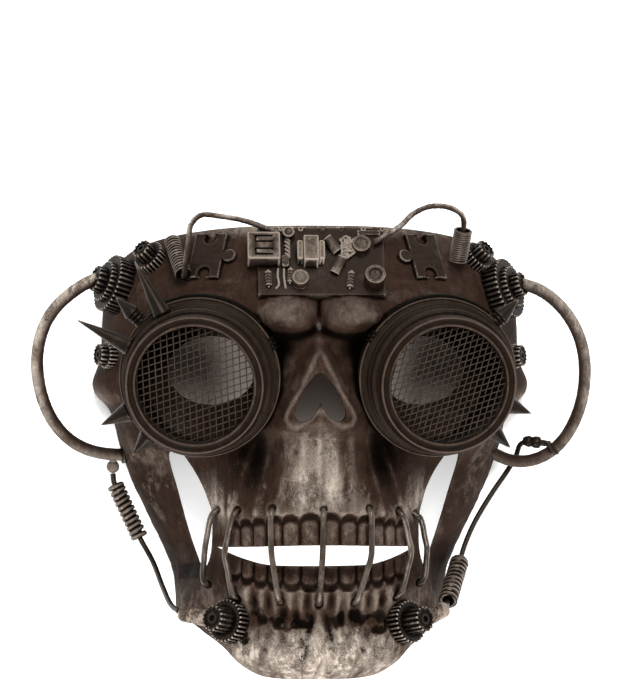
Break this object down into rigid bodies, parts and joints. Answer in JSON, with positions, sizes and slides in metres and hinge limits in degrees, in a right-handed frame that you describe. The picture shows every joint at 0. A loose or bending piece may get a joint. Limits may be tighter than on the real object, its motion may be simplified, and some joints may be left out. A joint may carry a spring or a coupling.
{
  "type": "skull mask",
  "caption": "Moulded half-shell skull mask with screened goggles, gear stacks, spikes, looped hoses, a forehead circuit board and wires stitching the jaws.",
  "frame": {"origin": "middle of the whole mask's box, on the plane of the back rim that it lies on", "axes": "+X to the viewer's right, +Y from the chin to the forehead, +Z out of the face, away from the rim"},
  "size_m": [0.2536, 0.2064, 0.1013],
  "materials": {
    "bone": "dark brown paint with a pale bone dry-brush on the raised parts",
    "goggle": "dark brown satin paint, edges rubbed to grey",
    "screen": "blackened wire mesh",
    "gear": "near-black paint with a dull metal rub on the teeth",
    "spike": "dark brown satin paint with pale streaks",
    "hose": "dark brown satin paint, rubbed in patches",
    "wire": "near-black satin paint, lighter where rubbed",
    "board": "dark brown paint with a grey dry-brush"
  },
  "bodies": {
    "root": {"skull_shell": "bone", "goggle_barrel_left": "goggle", "goggle_barrel_right": "goggle", "goggle_rim_left": "goggle", "goggle_rim_right": "goggle", "goggle_screen_left": "screen", "goggle_screen_right": "screen", "spike_left_1": "spike", "spike_left_2": "spike", "spike_left_3": "spike", "spike_left_4": "spike", "spike_left_5": "spike", "spike_right_1": "spike", "spike_right_2": "spike", "spike_right_3": "spike", "gear_temple_left": "gear", "gear_temple_right": "gear", "gear_brow_left": "gear", "gear_brow_right": "gear", "gear_cheek_left": "gear", "gear_cheek_right": "gear", "gear_jaw_left": "gear", "gear_jaw_right": "gear", "hose_left": "hose", "hose_right": "hose", "coil_left": "wire", "coil_right": "wire", "jaw_spring_left": "wire", "jaw_spring_right": "wire", "lead_left": "wire", "lead_right": "wire", "jaw_lead_left": "wire", "jaw_lead_right": "wire", "jaw_plug_left": "hose", "jaw_plug_right": "hose", "jaw_bead_left": "spike", "jaw_clip_right": "spike", "jigsaw_left": "board", "jigsaw_right": "board", "board_plate": "board", "board_connector": "board", "board_transformer": "board", "board_stud": "board", "board_capacitor": "board", "board_terminal_left": "board", "board_terminal_right": "board", "mouth_wire_1": "wire", "mouth_wire_2": "wire", "mouth_wire_3": "wire", "mouth_wire_4": "wire", "mouth_wire_5": "wire", "mouth_wire_6": "wire", "mouth_wire_7": "wire"}
  },
  "joints": []
}
